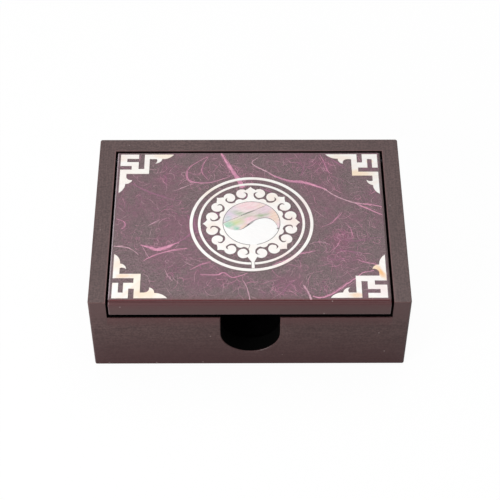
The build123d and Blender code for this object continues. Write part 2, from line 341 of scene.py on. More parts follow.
class Effects:
    """The shader node groups that several finishes share, each built once."""

    def build(self) -> None:
        """Build every group."""
        self._edge_band()
        self._rim_wear()
        self._streaks()
        self._dust()
        self._patch()
        self._bands()
        self._wisps()

    @staticmethod
    def _start(name: str, **inputs: Value) -> tuple[Graph, Sockets]:
        """Begin a group with one output named Mask.

        Args:
            name: The group's name.
            **inputs: Its inputs and their values.

        Returns:
            The group's graph and its inputs by name.
        """
        tree = bpy.data.node_groups.new(name, "ShaderNodeTree")
        for key, value in inputs.items():
            kind = "NodeSocketFloat" if isinstance(value, float) else "NodeSocketVector"
            socket = tree.interface.new_socket(key, in_out="INPUT", socket_type=kind)
            socket.default_value = value
        tree.interface.new_socket("Mask", in_out="OUTPUT", socket_type="NodeSocketFloat")
        graph = Graph(tree)
        return graph, graph.node("NodeGroupInput").outputs

    @staticmethod
    def _end(graph: Graph, mask: Socket) -> None:
        """Join the mask to the group's output."""
        graph.put(graph.node("NodeGroupOutput").inputs[0], mask)

    def _edge_band(self) -> None:
        """Mask along all edges of an upright block, with a frayed border."""
        graph, inputs = self._start(
            "edge_wear", Low=(0.0, 0.0, 0.0), High=(1.0, 1.0, 1.0), Width=1.0, Fray=0.5, Grain=1.0
        )
        gaps = graph.vector("ABSOLUTE", self._depths(graph, inputs))
        across, along, up = graph.split(gaps)
        nearer = graph.math("MINIMUM", across, along)
        farther = graph.math("MAXIMUM", across, along)
        middle = graph.math("MAXIMUM", nearer, graph.math("MINIMUM", farther, up))
        self._frayed(graph, inputs, middle)

    def _rim_wear(self) -> None:
        """Mask along the outline of an upright block's top, with a frayed border."""
        graph, inputs = self._start(
            "rim_wear", Low=(0.0, 0.0, 0.0), High=(1.0, 1.0, 1.0), Width=1.0, Fray=0.5, Grain=1.0
        )
        across, along, up = graph.split(self._depths(graph, inputs))
        outline = graph.math("ABSOLUTE", graph.math("MINIMUM", across, along))
        distance = graph.math("MAXIMUM", outline, graph.math("ABSOLUTE", up))
        self._frayed(graph, inputs, distance)

    @staticmethod
    def _depths(graph: Graph, inputs: Sockets) -> Socket:
        """Measure how deep the point lies within the block, along each axis.

        Args:
            graph: The group's graph.
            inputs: The group's inputs, with the block's corners Low and High.

        Returns:
            The depths as a vector, below 0 outside.
        """
        total = graph.vector("ADD", inputs["Low"], inputs["High"])
        centre = graph.vector("MULTIPLY", total, (0.5, 0.5, 0.5))
        half = graph.vector("SUBTRACT", inputs["High"], centre)
        reach = graph.vector("ABSOLUTE", graph.vector("SUBTRACT", graph.place(), centre))
        return graph.vector("SUBTRACT", half, reach)

    def _frayed(self, graph: Graph, inputs: Sockets, distance: Socket) -> None:
        """End a group with 1 at no distance, falling to 0 at a frayed border.

        Args:
            graph: The group's graph.
            inputs: The group's inputs, with Width, Fray and Grain.
            distance: How far the point is from the tinted edge.
        """
        ragged = graph.noise(graph.place(), inputs["Grain"], 3.0)
        shift = graph.times(graph.minus(ragged, 0.5), inputs["Fray"])
        away = graph.smooth(graph.plus(distance, shift), 0.0, inputs["Width"])
        self._end(graph, graph.rest(away))

    def _streaks(self) -> None:
        """Fine drawn-out lines, as a brush or the wood's grain leaves them."""
        graph, inputs = self._start("streaks", Stretch=(1.0, 1.0, 1.0), Fineness=1.0)
        drawn = graph.vector("MULTIPLY", graph.place(), inputs["Stretch"])
        lines = graph.noise(drawn, inputs["Fineness"], 4.0)
        self._end(graph, graph.smooth(lines, 0.3, 0.7))

    def _dust(self) -> None:
        """A few tiny specks."""
        graph, inputs = self._start("dust", Density=0.3, Size=0.1, Share=0.1)
        cells = graph.node("ShaderNodeTexVoronoi")
        graph.fed(cells, graph.place(), Scale=inputs["Density"])
        inner = graph.times(inputs["Size"], 0.5)
        off = graph.smooth(cells.outputs["Distance"], inner, inputs["Size"])
        chance = graph.split(cells.outputs["Color"])[0]
        kept = graph.math("LESS_THAN", chance, inputs["Share"])
        self._end(graph, graph.times(graph.rest(off), kept))

    def _patch(self) -> None:
        """A soft oval patch with an uneven border."""
        graph, inputs = self._start(
            "patch", Centre=(0.0, 0.0, 0.0), Stretch=(1.0, 1.0, 1.0), Angle=0.0, Radius=1.0, Fray=0.5
        )
        place = graph.place()
        offset = graph.turned(graph.vector("SUBTRACT", place, inputs["Centre"]), inputs["Angle"])
        squeezed = graph.vector("LENGTH", graph.vector("MULTIPLY", offset, inputs["Stretch"]))
        share = graph.math("DIVIDE", squeezed, inputs["Radius"])
        ragged = graph.noise(place, 0.5, 3.0, 0.6)
        shift = graph.times(graph.minus(ragged, 0.5), inputs["Fray"])
        away = graph.smooth(graph.plus(share, shift), 0.15, 1.0)
        self._end(graph, graph.rest(away))

    def _bands(self) -> None:
        """Growth bands of shell, drawn out along one direction and gently bent."""
        graph, inputs = self._start(
            "bands", Angle=0.0, Fineness=0.3, Shift=(0.0, 0.0, 0.0), Sharpness=0.2
        )
        along = graph.turned(graph.vector("ADD", graph.place(), inputs["Shift"]), inputs["Angle"])
        drawn = graph.vector("MULTIPLY", along, (0.22, 1.0, 0.2))
        bands = graph.noise(drawn, inputs["Fineness"], 3.0, 1.1)
        low = graph.minus(0.5, inputs["Sharpness"])
        high = graph.plus(0.5, inputs["Sharpness"])
        self._end(graph, graph.smooth(bands, low, high))

    def _wisps(self) -> None:
        """Hair-thin curly fibres: the level lines of a soft noise, broken up."""
        graph, inputs = self._start(
            "wisps", Fineness=0.3, Thickness=0.02, Shift=(0.0, 0.0, 0.0), Share=0.5
        )
        place = graph.vector("ADD", graph.place(), inputs["Shift"])
        hills = graph.noise(place, inputs["Fineness"], 1.5, 1.4)
        level = graph.math("ABSOLUTE", graph.minus(hills, 0.5))
        line = graph.rest(graph.smooth(level, 0.0, inputs["Thickness"]))
        breaks = graph.noise(place, graph.times(inputs["Fineness"], 1.7), 2.0)
        low = graph.minus(0.75, graph.times(inputs["Share"], 0.5))
        kept = graph.smooth(breaks, low, graph.plus(low, 0.12))
        self._end(graph, graph.times(line, kept))


class Finish:
    """What every finish shares: it makes one material with one Principled shader."""

    name: str
    fixed: ClassVar[Inputs] = {}

    def mixed(self, graph: Graph) -> Inputs:
        """Mix what varies over the surface.

        Args:
            graph: The graph of the material.

        Returns:
            The shader's varying inputs by name.
        """
        raise NotImplementedError

    def make(self) -> Material:
        """Build the material.

        Returns:
            The finished material.
        """
        material = bpy.data.materials.new(self.name)
        graph = cleared(material)
        shader = graph.node("ShaderNodeBsdfPrincipled")
        output = graph.node("ShaderNodeOutputMaterial")
        graph.put(output.inputs["Surface"], shader.outputs[0])
        for name, value in {**self.fixed, **self.mixed(graph)}.items():
            graph.put(shader.inputs[name], value)
        return material


class Layer:
    """What wear, painted light and patches share: a second colour that lies over part of a surface."""

    tint: Colour
    strength: float

    def mask(self, graph: Graph) -> Socket:
        """1 where the layer is whole and 0 where there is none of it."""
        raise NotImplementedError

    def lay(self, graph: Graph, colour: Paint) -> Socket:
        """The colour with this layer over it."""
        return graph.mix(graph.times(self.mask(graph), self.strength), colour, self.tint)


def layered(graph: Graph, colour: Paint, layers: Sequence[Layer]) -> Paint:
    """Lay layers over a colour.

    Args:
        graph: The graph of the material.
        colour: What lies under them.
        layers: The layers, the last one on top.

    Returns:
        The colour with them on it.
    """
    for layer in layers:
        colour = layer.lay(graph, colour)
    return colour


@dataclass(frozen=True)
class WearAndPaintedLight(Layer):
    """A tint along the edges of one upright block; some are rubbed lacquer, others painted highlights
    and painted shade.
    """

    where: TintedAt
    low: Triple
    high: Triple
    width: float
    fray: float
    tint: Colour
    strength: float

    @classmethod
    def front_edge(
        cls, front: float, top: float, width: float, fray: float, tint: Colour, strength: float
    ) -> "WearAndPaintedLight":
        """A tint along one long edge: where an upright front meets a level top."""
        low, high = (-FAR, front, -FAR), (FAR, FAR, top)
        return cls(TintedAt.RIM, low, high, width, fray, tint, strength)

    def mask(self, graph: Graph) -> Socket:
        """1 at the tinted edge and 0 beyond a frayed border."""
        block = {"Low": self.low, "High": self.high, "Width": self.width, "Fray": self.fray}
        return graph.effect(self.where.value, **block, Grain=0.8)


@dataclass(frozen=True)
class Patch(Layer):
    """One soft patch of a second colour."""

    centre: Point
    radius: float
    tint: Colour
    strength: float = 0.7
    stretch: Point = (1.0, 1.0)
    angle: float = 0.0
    fray: float = 0.6

    def mask(self, graph: Graph) -> Socket:
        """1 in the middle of the patch and 0 beyond an uneven border."""
        oval = {"Centre": (*self.centre, 0.0), "Stretch": (*self.stretch, 0.0), "Radius": self.radius}
        return graph.effect("patch", **oval, Angle=math.radians(self.angle), Fray=self.fray)


@dataclass(frozen=True)
class Lacquer(Finish):
    """Satin brown lacquer on wood, rubbed redder at some edges, with painted highlights along other
    edges, painted shade towards the bottom and on upright faces, painted light high on upright faces,
    and black inside.

    The inside is a block: what lies in it, away from the outer skin, was never lacquered brown.
    """

    fixed: ClassVar[Inputs] = {"Coat Roughness": 0.32, "Coat IOR": 1.5, "Specular IOR Level": 0.06}
    name: str
    edge_tints: tuple[WearAndPaintedLight, ...]
    inside_low: Triple
    inside_high: Triple
    body: Colour = (60, 40, 40)
    grain: Colour = (106, 82, 80)
    # Painted light: the lighter brown that the upper part of upright faces turns to.
    upper: Colour = (83, 60, 60)
    # Painted shade: the darker, reddish brown that the walls turn to towards the bottom.
    painted_foot_shade: Colour = (65, 38, 40)
    foot_height: float = 22.0
    side_boards_from: float = 49.0
    black: Colour = (0, 0, 0)
    speck: Colour = (150, 132, 130)
    roughness: float = 0.42
    coat: float = 0.58

    def mixed(self, graph: Graph) -> Inputs:
        """Mix streaked brown, darker on upright faces as painted shade, with a reddish painted shade
        towards the bottom, painted light high on upright faces, worn edges, painted edge highlights and
        dust, black inside.

        Args:
            graph: The graph of the material.

        Returns:
            The shader's varying inputs by name.
        """
        place = graph.place()
        across, _, up = graph.split(place)
        out_x, _, out_z = graph.outward()
        level = graph.math("GREATER_THAN", out_z, STEEP)
        on_side = graph.math("GREATER_THAN", out_x, STEEP)
        far_out = graph.math("GREATER_THAN", graph.math("ABSOLUTE", across), self.side_boards_from)
        side_board = graph.math("MAXIMUM", on_side, graph.times(level, far_out))
        lengthwise = graph.effect("streaks", Stretch=(0.06, 1.0, 1.0), Fineness=2.2)
        crosswise = graph.effect("streaks", Stretch=(1.0, 0.06, 1.0), Fineness=2.2)
        fine = graph.split(graph.mix(side_board, lengthwise, crosswise))[0]
        cloud = graph.noise(place, 0.06, 2.0)
        mottle = graph.smooth(graph.noise(place, 1.4, 3.0), 0.35, 0.65)
        lines = graph.math("MULTIPLY_ADD", fine, 0.7, mottle)
        shade = graph.times(lines, graph.spread(cloud, 0.15, 0.55))
        # Painted shade: upright faces take less of the lighter grain, so they come out darker than
        # level tops, with weaker grain.
        shade = graph.times(shade, graph.spread(level, 0.8, 1.0))
        colour = graph.mix(shade, self.body, self.grain)
        # Painted shade: towards the bottom the brown is mixed with the darker colour, less and less up
        # to the given height.
        height = graph.smooth(up, 0.0, self.foot_height)
        colour = graph.mix(graph.spread(height, 0.25, 1.0), self.painted_foot_shade, colour)
        # Painted light: upright faces turn lighter above the height where the painted shade ends.
        painted_light_ramp = graph.smooth(up, self.foot_height, self.foot_height + 10.0)
        colour = graph.mix(graph.times(painted_light_ramp, graph.rest(level)), colour, self.upper)
        colour = layered(graph, colour, self.edge_tints)
        specks = graph.effect("dust", Density=0.36, Size=0.12, Share=0.16)
        colour = graph.mix(graph.times(specks, 0.7), colour, self.speck)
        inside = self._inside(graph, place)
        dull = graph.spread(graph.noise(place, 0.35, 3.0), self.roughness - 0.06, self.roughness + 0.08)
        return {
            "Base Color": graph.mix(inside, colour, self.black),
            "Roughness": graph.math("ADD", dull, graph.times(inside, 0.45), clamp=True),
            "Coat Weight": graph.times(graph.rest(inside), self.coat),
            "Normal": graph.relief(graph.noise(place, 1.6, 3.0), 0.02),
        }

    def _inside(self, graph: Graph, place: Socket) -> Socket:
        """Find the inside, which was never lacquered brown.

        Args:
            graph: The graph of the material.
            place: The surface point.

        Returns:
            1 within the inside block and 0 out of it, with a border a hair wide.
        """
        above = graph.vector("SUBTRACT", place, self.inside_low)
        below = graph.vector("SUBTRACT", self.inside_high, place)
        across, along, up = graph.split(graph.vector("MINIMUM", above, below))
        depth = graph.math("MINIMUM", graph.math("MINIMUM", across, along), up)
        return graph.smooth(depth, -0.03, 0.03)


@dataclass(frozen=True)
class FibrePaper(Finish):
    """Dark mulberry paper: charcoal pulp, plum clouds, curly hair-thin fibres, a satin varnish."""

    fixed: ClassVar[Inputs] = VARNISH
    name: str = "fibre_paper"
    pulp: Colour = (120, 99, 101)
    pulp_dark: Colour = (59, 40, 44)
    plum: Colour = (118, 72, 92)
    hair: Colour = (158, 106, 128)
    pale_hair: Colour = (160, 128, 136)
    outline_dark: Colour = (12, 8, 10)
    disc_centre: Point = (0.0, 0.0)
    disc_radius: float = 10.0
    patches: tuple[Patch, ...] = ()
    edge_tints: tuple[WearAndPaintedLight, ...] = ()

    def mixed(self, graph: Graph) -> Inputs:
        """Mix mottled pulp with clouds, fine hairs, a dark ring round the disc and worn edges.

        Args:
            graph: The graph of the material.

        Returns:
            The shader's varying inputs by name.
        """
        place = graph.place()
        grain = graph.noise(place, 2.5, 4.0)
        colour = graph.mix(graph.smooth(grain, 0.27, 0.7), self.pulp_dark, self.pulp)
        cloud = graph.smooth(graph.noise(place, 0.075, 3.0, 0.4), 0.45, 0.68)
        mottle = graph.smooth(graph.noise(place, 0.7, 3.0), 0.3, 0.7)
        colour = graph.mix(graph.times(cloud, graph.spread(mottle, 0.15, 0.7)), colour, self.plum)
        colour = layered(graph, colour, self.patches)
        hairs = (
            (0.16, 0.012, (11.0, 3.0, 0.0), 0.6, self.hair, 0.5),
            (0.3, 0.02, (47.0, 19.0, 0.0), 0.58, self.hair, 0.36),
            (0.55, 0.03, (5.0, 61.0, 0.0), 0.58, self.pale_hair, 0.34),
            (0.9, 0.045, (23.0, 7.0, 0.0), 0.55, self.hair, 0.3),
        )
        height = grain
        for fine, thick, shift, share, tint, strength in hairs:
            mask = graph.effect("wisps", Fineness=fine, Thickness=thick, Shift=shift, Share=share)
            colour = graph.mix(graph.times(mask, strength), colour, tint)
            height = graph.plus(height, mask)
        # The paper is darkened under the disc and in a thin ring just round it.
        colour = graph.mix(self._dark_ring(graph, place), colour, self.outline_dark)
        return {
            "Base Color": layered(graph, colour, self.edge_tints),
            "Roughness": graph.spread(graph.noise(place, 0.4, 2.0), 0.4, 0.52),
            "Normal": graph.relief(height, 0.008),
        }

    def _dark_ring(self, graph: Graph, place: Socket) -> Socket:
        """Find where the paper is darkened: under the disc, in its cut and just round it.

        Args:
            graph: The graph of the material.
            place: The surface point.

        Returns:
            How dark the paper is made there.
        """
        offset = graph.vector("SUBTRACT", place, (*self.disc_centre, 0.0))
        away = graph.vector("LENGTH", graph.vector("MULTIPLY", offset, (1.0, 1.0, 0.0)))
        free = graph.smooth(away, self.disc_radius + 0.1, self.disc_radius + 0.5)
        return graph.times(graph.rest(free), 0.95)


@dataclass(frozen=True)
class FibreSkin(Finish):
    """A long fibre under the varnish, dyed unevenly along its length."""

    fixed: ClassVar[Inputs] = VARNISH
    name: str
    core: Colour
    fade: Colour

    def mixed(self, graph: Graph) -> Inputs:
        """Mix the dye with its faded blotches along fine strands.

        Args:
            graph: The graph of the material.

        Returns:
            The shader's varying inputs by name.
        """
        blotch = graph.smooth(graph.noise(graph.place(), 0.5, 3.0), 0.35, 0.65)
        strands = graph.effect("streaks", Stretch=(1.0, 1.0, 0.0), Fineness=3.0)
        share = graph.times(graph.spread(blotch, 0.0, 0.6), graph.spread(strands, 0.4, 1.0))
        return {
            "Base Color": graph.mix(share, self.core, self.fade),
            "Roughness": graph.spread(blotch, 0.42, 0.55),
            "Normal": graph.relief(strands, 0.006),
        }


@dataclass(frozen=True)
class Pearl(Finish):
    """Polished white shell with cream and pink growth bands."""

    fixed: ClassVar[Inputs] = POLISH
    name: str
    white: Colour = (246, 246, 242)
    pink: Colour = (241, 234, 231)
    cream: Colour = (238, 212, 184)
    grey: Colour = (222, 214, 214)
    cut: Colour = (84, 62, 64)
    cut_share: float = 0.3
    creaminess: float = 0.25
    angle: float = 20.0
    shift: Triple = (0.0, 0.0, 0.0)
    patches: tuple[Patch, ...] = ()

    def mixed(self, graph: Graph) -> Inputs:
        """Mix white and pink bands with patches, cream streaks, fine grey lines and dark cuts.

        Args:
            graph: The graph of the material.

        Returns:
            The shader's varying inputs by name.
        """
        turn = math.radians(self.angle)
        far_shift = tuple(part + 37.0 for part in self.shift)
        broad = graph.effect("bands", Angle=turn, Fineness=0.3, Shift=self.shift, Sharpness=0.16)
        fine = graph.effect("bands", Angle=turn + 0.15, Fineness=1.3, Shift=self.shift, Sharpness=0.25)
        warm = graph.effect("bands", Angle=turn - 0.2, Fineness=0.22, Shift=far_shift, Sharpness=0.1)
        colour = graph.mix(graph.spread(broad, 0.0, 0.8), self.white, self.pink)
        colour = layered(graph, colour, self.patches)
        streak = graph.times(warm, graph.spread(fine, 0.5, 1.0))
        colour = graph.mix(graph.times(streak, self.creaminess), colour, self.cream)
        colour = graph.mix(graph.spread(fine, 0.0, 0.12), colour, self.grey)
        return {
            "Base Color": graph.cut_side(colour, self.cut, self.cut_share),
            "Roughness": graph.spread(fine, 0.2, 0.32),
            "Normal": graph.relief(fine, 0.004),
        }


@dataclass(frozen=True)
class Abalone(Finish):
    """Coloured shell: a pale ground under patches of pink, green, turquoise and peach."""

    fixed: ClassVar[Inputs] = POLISH
    name: str
    ground: Colour
    patches: tuple[Patch, ...]
    angle: float = -22.0
    gleam: Colour = (236, 226, 224)
    vein: Colour = (150, 158, 146)
    cut: Colour = (34, 24, 26)

    def mixed(self, graph: Graph) -> Inputs:
        """Mix the patches with bands of lustre, thin veins and dark cuts.

        Args:
            graph: The graph of the material.

        Returns:
            The shader's varying inputs by name.
        """
        turn, shift = math.radians(self.angle), (3.0, 9.0, 0.0)
        colour = layered(graph, self.ground, self.patches)
        lustre = graph.effect("bands", Angle=turn, Fineness=0.8, Shift=shift, Sharpness=0.14)
        colour = graph.mix(graph.spread(lustre, 0.0, 0.4), colour, self.gleam)
        shift = (2.0, 7.0, 0.0)
        veins = graph.effect("wisps", Fineness=0.45, Thickness=0.012, Shift=shift, Share=0.7)
        colour = graph.mix(graph.times(veins, 0.45), colour, self.vein)
        return {
            "Base Color": graph.cut_side(colour, self.cut, 0.95),
            "Roughness": graph.spread(lustre, 0.18, 0.3),
            "Normal": graph.relief(lustre, 0.005),
        }


@dataclass(frozen=True)
class BlackCoat(Finish):
    """Thin black lacquer over wood, as inside the box."""

    fixed: ClassVar[Inputs] = {"Specular IOR Level": 0.12}
    name: str = "black_lacquer"
    body: Colour = (5, 4, 5)
    worn: Colour = (15, 13, 14)

    def mixed(self, graph: Graph) -> Inputs:
        """Mix black with worn brush lines.

        Args:
            graph: The graph of the material.

        Returns:
            The shader's varying inputs by name.
        """
        lines = graph.effect("streaks", Stretch=(1.0, 0.08, 1.0), Fineness=1.8)
        return {
            "Base Color": graph.mix(graph.spread(lines, 0.0, 0.5), self.body, self.worn),
            "Roughness": graph.spread(lines, 0.5, 0.62),
            "Normal": graph.relief(lines, 0.01),
        }


@dataclass(frozen=True)
class Felt(Finish):
    """Pressed felt: a short tangled nap with lint."""

    fixed: ClassVar[Inputs] = {"Roughness": 0.95, "Specular IOR Level": 0.05}
    name: str = "felt"
    body: Colour = (7, 6, 7)
    lint: Colour = (24, 21, 24)

    def mixed(self, graph: Graph) -> Inputs:
        """Mix the nap with tufts and fine hairs of lint.

        Args:
            graph: The graph of the material.

        Returns:
            The shader's varying inputs by name.
        """
        nap = graph.smooth(graph.noise(graph.place(), 3.5, 5.0, 0.5), 0.35, 0.7)
        hairs = graph.effect("wisps", Fineness=1.4, Thickness=0.06, Shift=(8.0, 2.0, 0.0), Share=0.8)
        tuft = graph.plus(nap, graph.times(hairs, 0.6))
        colour = graph.mix(graph.times(tuft, 0.5), self.body, self.lint)
        return {"Base Color": colour, "Normal": graph.relief(tuft, 0.15)}


@dataclass(frozen=True)
class BluedSteel(Finish):
    """Drawn pin stock, blued almost black, with drawing lines along it."""

    fixed: ClassVar[Inputs] = {"Metallic": 1.0}
    name: str = "pin_steel"
    body: Colour = (34, 34, 37)
    dark: Colour = (18, 18, 20)

    def mixed(self, graph: Graph) -> Inputs:
        """Mix the blued metal with darker drawing lines.

        Args:
            graph: The graph of the material.

        Returns:
            The shader's varying inputs by name.
        """
        lines = graph.effect("streaks", Stretch=(0.15, 1.0, 1.0), Fineness=6.0)
        return {
            "Base Color": graph.mix(lines, self.body, self.dark),
            "Roughness": graph.spread(lines, 0.4, 0.6),
            "Normal": graph.relief(lines, 0.003),
        }


@dataclass
class SubAssembly:
    """A group of pieces that belong together."""

    frame: dict

    def dress_nodes(self, finish: Finish, *names: str) -> None:
        """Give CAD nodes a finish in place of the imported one.

        Args:
            finish: The finish.
            *names: The CAD nodes.
        """
        material = finish.make()
        for name in names:
            mesh = self.frame["nodes"][name].data
            mesh.materials.clear()
            mesh.materials.append(material)
            LOG.info("%s is finished with %s", name, material.name)


@dataclass
class BoxBody(SubAssembly):
    """The four walls, the base, the linings, the felts and the pins."""

    wall: float = 6.0
    edge_round: float = 0.35
    overlap: float = 0.02

    def dress(self) -> None:
        """Finish every node of the box."""
        low, high = in_mm(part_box("left_wall"))
        right_high = in_mm(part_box("right_wall"))[1]
        inner_x = right_high.x - self.wall
        inner_back = high.y - self.wall
        skin = low.y + self.edge_round
        outer_high = (right_high.x, high.y, high.z)
        mouth_high = (inner_x, inner_back, high.z)
        front_top = in_mm(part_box("front_wall"))[1].z
        # Painted highlight: the outer edges of the box are tinted lighter, as rounded edges look where
        # they catch the light.
        painted_edge_highlight = WearAndPaintedLight(TintedAt.EDGES, tuple(low), outer_high, 0.55, 0.25, (96, 70, 68), 0.5)
        # Painted highlight: a lighter line round the inner edge of the opening.
        painted_mouth_highlight = WearAndPaintedLight(TintedAt.RIM, (-inner_x, -FAR, -FAR), mouth_high, 0.6, 0.45, (122, 84, 84), 0.6)
        sill = WearAndPaintedLight.front_edge(low.y, front_top, 6.5, 4.0, (84, 42, 45), 0.38)
        walls = Lacquer(
            "lacquered_wood",
            (painted_edge_highlight, painted_mouth_highlight),
            (-inner_x - self.overlap, skin, -FAR),
            (inner_x + self.overlap, inner_back + self.overlap, high.z - self.overlap),
        )
        front = Lacquer("lacquered_front", (painted_edge_highlight, sill), (-inner_x, skin, -FAR), (inner_x, FAR, FAR))
        self.dress_nodes(walls, "left_wall", "right_wall", "back_wall")
        self.dress_nodes(front, "front_wall")
        self.dress_nodes(BlackCoat(), "base_panel", "left_liner", "right_liner", "back_liner")
        self.dress_nodes(Felt(), "floor_felt", "base_felt")
        self.dress_nodes(BluedSteel(), "hinge_pin_left", "hinge_pin_right")


@dataclass(frozen=True)
class Strand:
    """One long fibre: its dye, its width at the start, the middle and the end, and its points."""

    dye: Dye
    widths: tuple[float, float, float]
    points: tuple[Point, ...]
    hairs: int = 3

    def width(self, share: float) -> float:
        """Find the width at one place.

        Args:
            share: How far along the length, from 0 to 1.

        Returns:
            The width there.
        """
        first, middle, last = self.widths
        if share < 0.5:
            return first + (middle - first) * share * 2
        return middle + (last - middle) * (share * 2 - 1)


@dataclass(frozen=True)
class Tangle:
    """Curly dyed hairs that lie close together in the pulp."""

    centre: Point
    radius: float
    count: int
    dye: Dye = PLUM


TANGLES = tuple(
    Tangle(*row)
    for row in (
        ((-6.5, 24), 4.5, 34), ((-1.8, 17.5), 3, 22, ROSE), ((-2.6, 20.5), 4, 26),
        ((-20.5, 20.5), 4, 26), ((-14, 20), 4, 22), ((-31, 20.5), 3.6, 26),
        ((-37, 13), 6, 16), ((-33, 3.5), 7, 20), ((-25, 2), 6, 20),
        ((-22, -7.5), 5, 24), ((-32, -12), 6, 40), ((-26, -17), 6, 34),
        ((-27.5, -25.5), 5, 36), ((-42, -9), 5, 26), ((-8, -27.5), 5, 42),
        ((-1.5, -28.5), 3.5, 26), ((-17, -22), 4, 26), ((12, -29.5), 5.5, 46),
        ((8, -33), 4.5, 26), ((19, -32.5), 3.2, 26), ((17.5, 24.5), 4.2, 40),
        ((27.5, 25.5), 3.2, 36), ((24, 27), 5, 30), ((20.5, 16), 5, 26),
        ((31, 17.5), 5, 24), ((41, 8), 4.5, 26), ((33, -8.5), 3.6, 52, PLUM),
        ((31.5, -7), 2.4, 14, ROSE), ((38.5, -8), 5, 36), ((29, -14), 4, 30),
        ((31.5, -19), 4, 34), ((39, -20.5), 4, 26), ((24.5, -16), 4, 22),
        ((14.5, -19.5), 4, 24), ((27.5, -31), 4, 24),
    )
)

